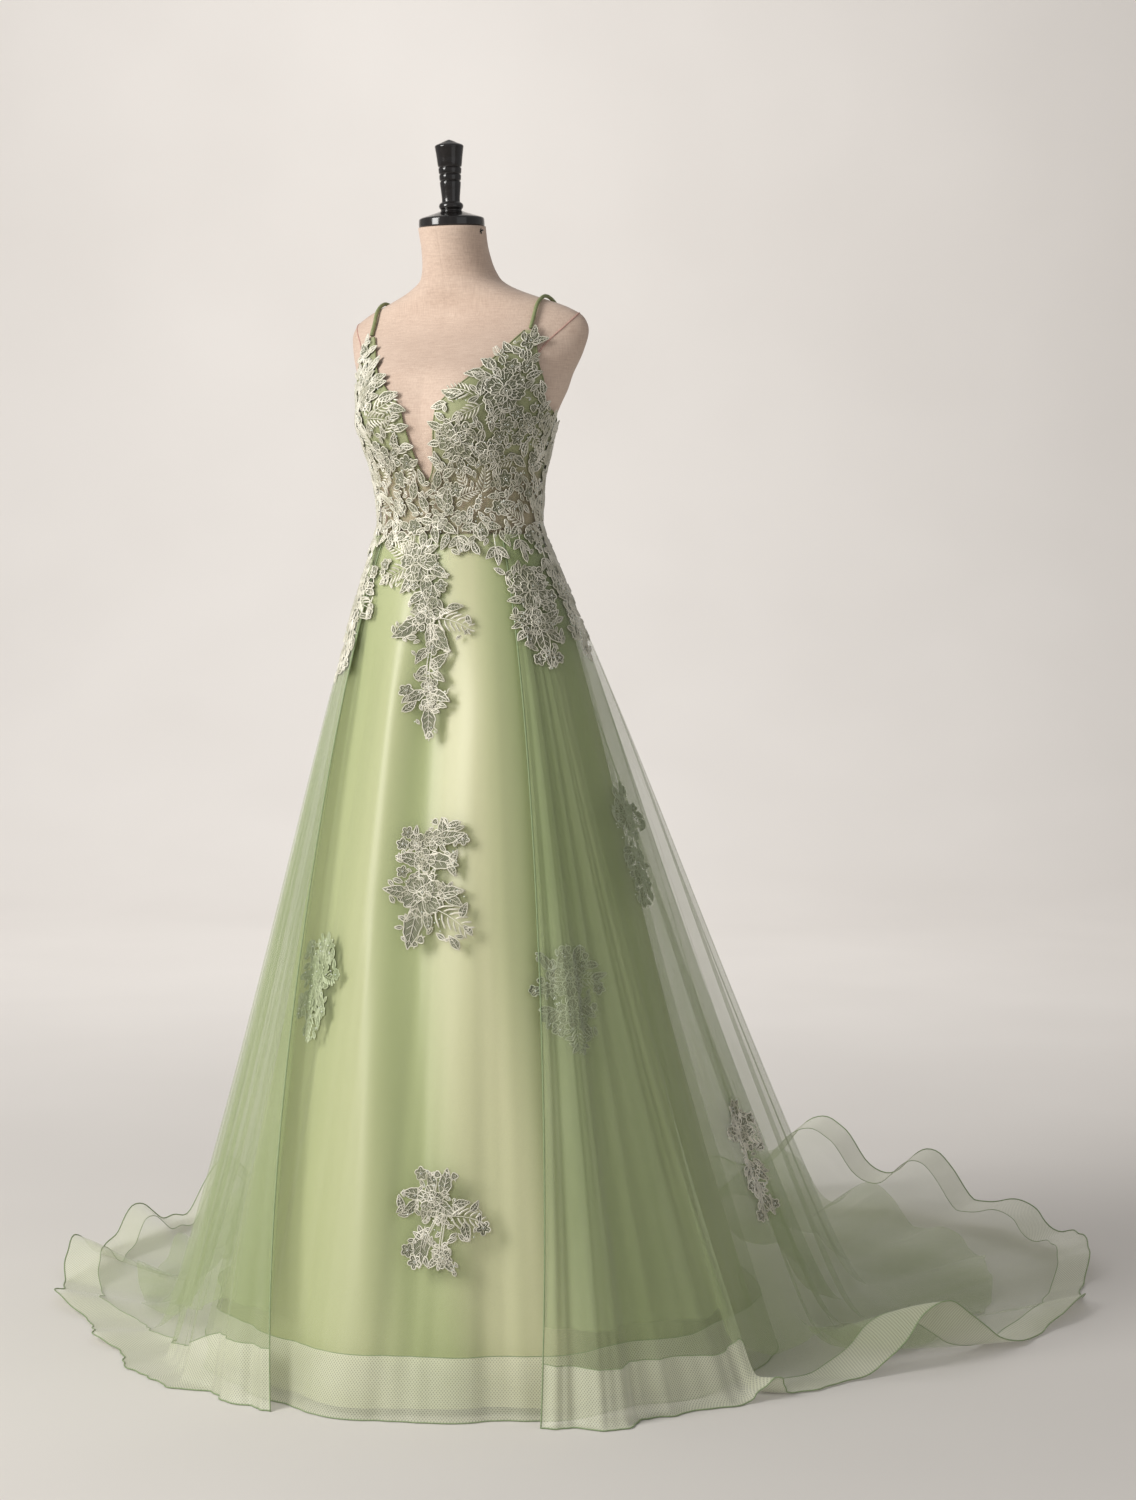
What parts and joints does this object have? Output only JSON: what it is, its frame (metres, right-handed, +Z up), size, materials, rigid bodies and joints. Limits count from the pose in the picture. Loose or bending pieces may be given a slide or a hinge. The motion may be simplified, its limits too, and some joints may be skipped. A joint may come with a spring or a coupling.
{
  "type": "a-line formal dress with train on a limbless dress form",
  "caption": "Sleeveless plunging a-line gown with lace bodice, satin underskirt, open tulle overlay and a short train, on a limbless dress form with stand.",
  "frame": {"origin": "centre of the stand's underside on the floor, under the pole", "axes": "+Z up; -Y the dress's front; +X the wearer's left"},
  "size_m": [1.6385, 1.5976, 1.789],
  "materials": {
    "linen": "plain woven linen over a padded torso",
    "black": "glossy black turned cap and knob",
    "metal": "black painted stand",
    "mesh": "sheer sage green mesh",
    "olive": "olive rouleau strap",
    "satin": "sage green satin",
    "tulle": "fine sage green tulle, see-through",
    "braid": "pale green horsehair braid",
    "lace": "corded floral lace with silver green cord"
  },
  "bodies": {
    "root": {"form_body": "linen", "neck_cap_knob": "black", "stand": "metal", "bodice_front_left": "mesh", "bodice_front_right": "mesh", "bodice_back": "mesh", "strap_left": "olive", "strap_right": "olive", "satin_front": "satin", "satin_back": "satin", "tulle_front": "tulle", "tulle_back": "tulle", "tulle_braid_front": "braid", "tulle_braid_back": "braid", "overlay_left": "tulle", "overlay_train": "tulle", "overlay_right": "tulle", "overlay_left_braid": "braid", "overlay_train_braid": "braid", "overlay_right_braid": "braid", "lace_bodice_left": "lace", "lace_bodice_right": "lace", "lace_back": "lace", "lace_centre_cascade": "lace", "lace_hip_left": "lace", "lace_hip_right": "lace", "lace_mid_front": "lace", "lace_lower_front": "lace"}
  },
  "joints": []
}
